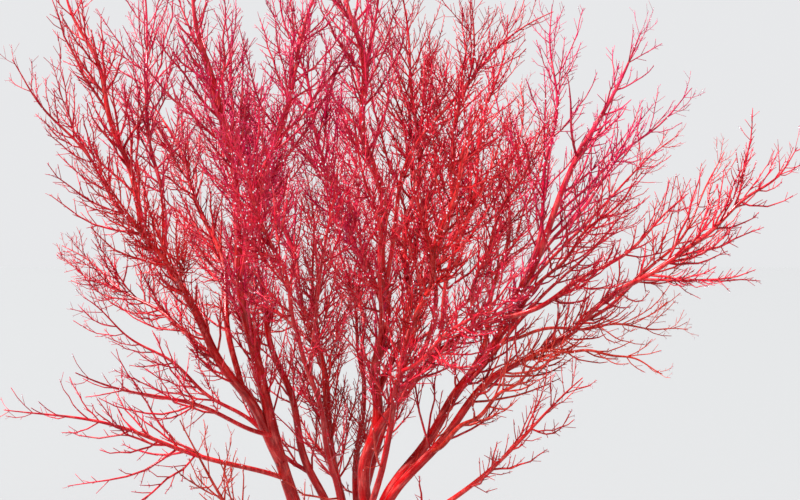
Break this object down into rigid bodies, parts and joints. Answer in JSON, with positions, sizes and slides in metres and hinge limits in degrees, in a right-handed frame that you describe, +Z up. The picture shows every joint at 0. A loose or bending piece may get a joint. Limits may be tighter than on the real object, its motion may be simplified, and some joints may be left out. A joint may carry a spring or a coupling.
{
  "type": "japanese maple tree",
  "caption": "Bare coral-bark Japanese maple in winter: red stems fan out from one short trunk into an upright vase-shaped crown of fine twigs.",
  "frame": {"origin": "middle of the flat cut under the trunk, at ground level", "axes": "+Z up; +X to the viewer's right and -Y towards the viewer in the picture"},
  "size_m": [5.0014, 4.2811, 4.9166],
  "materials": {
    "old_bark": "smooth red bark, darker in streaks, wet",
    "young_bark": "smooth coral-red bark, wet",
    "twig_bark": "glossy coral to crimson young bark with raindrops"
  },
  "bodies": {
    "root": {"back_bough": "young_bark", "back_high_twigs": "twig_bark", "back_left_bough": "young_bark", "back_left_low_twigs": "twig_bark", "back_left_twigs": "twig_bark", "back_low_twigs": "twig_bark", "back_right_bough": "young_bark", "back_right_low_twigs": "twig_bark", "back_right_twigs": "twig_bark", "centre_back_twigs": "twig_bark", "centre_front_twigs": "twig_bark", "centre_right_bough": "old_bark", "centre_right_high_twigs": "twig_bark", "centre_right_twigs": "twig_bark", "centre_stem": "old_bark", "crown_left_twigs": "twig_bark", "crown_right_twigs": "twig_bark", "crown_top_twigs": "twig_bark", "far_left_twigs": "twig_bark", "far_right_twigs": "twig_bark", "far_right_upper_twigs": "twig_bark", "front_left_bough": "young_bark", "front_left_twigs": "twig_bark", "front_middle_twigs": "twig_bark", "front_right_bough": "young_bark", "front_right_low_twigs": "twig_bark", "front_right_twigs": "twig_bark", "inner_left_back_twigs": "twig_bark", "inner_left_stem": "old_bark", "inner_left_top_twigs": "twig_bark", "left_back_twigs": "twig_bark", "left_inner_top_twigs": "twig_bark", "left_side_lower_twigs": "twig_bark", "left_side_middle_twigs": "twig_bark", "left_side_upper_twigs": "twig_bark", "left_skirt_twigs": "twig_bark", "left_stem": "old_bark", "left_top_twigs": "twig_bark", "long_right_bough": "old_bark", "low_right_twigs": "twig_bark", "lowest_left_twigs": "twig_bark", "outer_left_bough": "old_bark", "outer_left_front_twigs": "twig_bark", "outer_left_spire_twigs": "twig_bark", "outer_left_top_twigs": "twig_bark", "right_back_twigs": "twig_bark", "right_droop_twigs": "twig_bark", "right_front_twigs": "twig_bark", "right_inner_twigs": "twig_bark", "right_level_twigs": "twig_bark", "right_middle_twigs": "twig_bark", "right_skirt_twigs": "twig_bark", "right_spire_twigs": "twig_bark", "right_stem": "old_bark", "right_top_twigs": "twig_bark", "right_upper_twigs": "twig_bark", "slender_twigs": "twig_bark", "trunk": "old_bark", "upright_left_twigs": "twig_bark", "upright_right_twigs": "twig_bark"}
  },
  "joints": []
}
